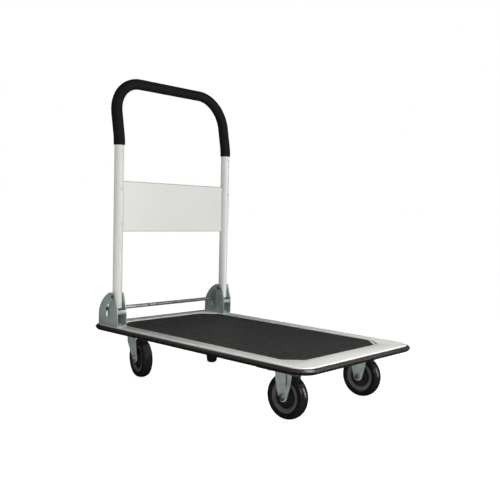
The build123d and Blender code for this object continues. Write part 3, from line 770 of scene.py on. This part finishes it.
def make_wheels(tyre_material, hub_material, dish_shade_material):
    for side in SIDES:
        for end in ("front", "rear"):
            joint = joints[f"{end}_wheel_{side}_spin"]
            body = f"{end}_wheel_{side}"
            for part, profile, material, slot in (
                ("tyre", tyre_profile(), tyre_material, "tyre_rubber"),
                ("hub", hub_profile(), hub_material, "hub_plastic"),
            ):
                name = f"{end}_{part}_{side}"
                mesh = lathe(name, in_metres(profile), joint["pos_m"], joint["axis"], WHEEL_STEPS)
                add_piece(f"{name}_detail", mesh, material, body, [name], 32.0)
                if part == "hub":
                    darken_dish(mesh, joint, dish_shade_material)


# ---------------------------------------------------------------- latch springs
PEG_PLACE = (-298.9 * MM, 210.9 * MM)
PEG_EYE = 2.9 * MM
ROD_EYE = 6.3 * MM
COIL_R = 3.2 * MM
WIRE_R = 0.6 * MM
WIRE_SIDES = 10
COIL_TURNS = 12
COIL_STEPS = 20


def make_springs(material):
    """Extension springs: an eye round the bracket's peg, a close coil, an eye round the bar."""
    rod_low, rod_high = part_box("latch_rod")
    rod = ((rod_low[0] + rod_high[0]) / 2, (rod_low[2] + rod_high[2]) / 2)
    for side in SIDES:
        low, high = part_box(f"latch_spring_{side}")
        y = (low[1] + high[1]) / 2
        coil_top = Vector((PEG_PLACE[0], y, PEG_PLACE[1] - PEG_EYE - COIL_R * 0.6))
        coil_low = Vector((rod[0], y, rod[1] + ROD_EYE + COIL_R * 0.6))
        points = [
            Vector((PEG_PLACE[0] + PEG_EYE * sin(t), y, PEG_PLACE[1] - PEG_EYE * cos(t)))
            for t in spread(radians(60), radians(360), radians(15))
        ]
        steps = COIL_TURNS * COIL_STEPS
        for i in range(steps + 1):
            turn = 2 * pi * i / COIL_STEPS
            centre = coil_top.lerp(coil_low, i / steps)
            points.append(centre + Vector((COIL_R * sin(turn), COIL_R * cos(turn), 0)))
        points += [
            Vector((rod[0] + ROD_EYE * sin(t), y, rod[1] + ROD_EYE * cos(t)))
            for t in spread(0, radians(300), radians(12))
        ]
        mesh = tube_along(f"latch_spring_{side}", points, WIRE_R, WIRE_SIDES)
        name = f"latch_spring_{side}"
        piece = add_piece(f"{name}_wire", mesh, material, None, [name], 60.0)
        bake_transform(piece)


# ---------------------------------------------------------------- build the scene
add_camera()
add_world()
add_floor()
for light in LIGHTS:
    add_area_light(*light)

materials = {
    "white_paint": make_white_paint(),
    "mat_rubber": make_mat_rubber(),
    "bumper_rubber": make_bumper_rubber(),
    "grip_foam": make_grip_foam(),
    "zinc_plate": make_zinc_plate(),
    "bright_steel": make_bright_steel(),
    "spring_steel": make_spring_steel(),
    "grey_paint": make_grey_paint(),
    "tyre_rubber": make_tyre_rubber(),
    "hub_plastic": make_hub_plastic(),
    "bush_plastic": make_bush_plastic(),
}
slots = {part["node"]: part["material_slot"] for part in frame["record"]["subparts"]}
for node, obj in frame["nodes"].items():
    obj.data.materials.clear()
    obj.data.materials.append(materials[slots[node]])

# The panel's paint has painted shade along its two hems.
frame["nodes"]["handle_panel"].data.materials[0] = make_white_paint("panel_paint", hem_painted_shade)

TRAY_EDGE, SHEET_EDGE, FASTENER_EDGE = 0.7 * MM, 0.5 * MM, 0.4 * MM
ROUNDED = {  # node: (body, edge rounding)
    "deck_tray": ("deck", TRAY_EDGE),
    "bracket_bolts": ("deck", FASTENER_EDGE),
    "front_crossmember": ("deck", SHEET_EDGE),
    "rear_crossmember": ("deck", SHEET_EDGE),
    "front_caster_bolts": ("deck", FASTENER_EDGE),
    "rear_caster_bolts": ("deck", FASTENER_EDGE),
}
for side in SIDES:
    ROUNDED[f"hinge_bracket_{side}"] = ("deck", SHEET_EDGE)
    ROUNDED[f"rigid_caster_frame_{side}"] = ("deck", SHEET_EDGE)
    ROUNDED[f"rigid_axle_bolt_{side}"] = ("deck", FASTENER_EDGE)
    ROUNDED[f"rigid_axle_nut_{side}"] = ("deck", FASTENER_EDGE)
    ROUNDED[f"swivel_plate_{side}"] = ("deck", SHEET_EDGE)
    ROUNDED[f"swivel_fork_{side}"] = (f"swivel_{side}", SHEET_EDGE)
    ROUNDED[f"swivel_axle_bolt_{side}"] = (f"swivel_{side}", FASTENER_EDGE)
    ROUNDED[f"swivel_axle_nut_{side}"] = (f"swivel_{side}", FASTENER_EDGE)
for node, (body, width) in ROUNDED.items():
    add_softened(node, materials[slots[node]], body, width)

make_bumper(materials["bumper_rubber"])
make_mat(materials["mat_rubber"])
make_grip(materials["grip_foam"])
make_wheels(materials["tyre_rubber"], materials["hub_plastic"], make_hub_recess())
make_springs(materials["spring_steel"])

bpy.context.scene.view_settings.view_transform = "Standard"
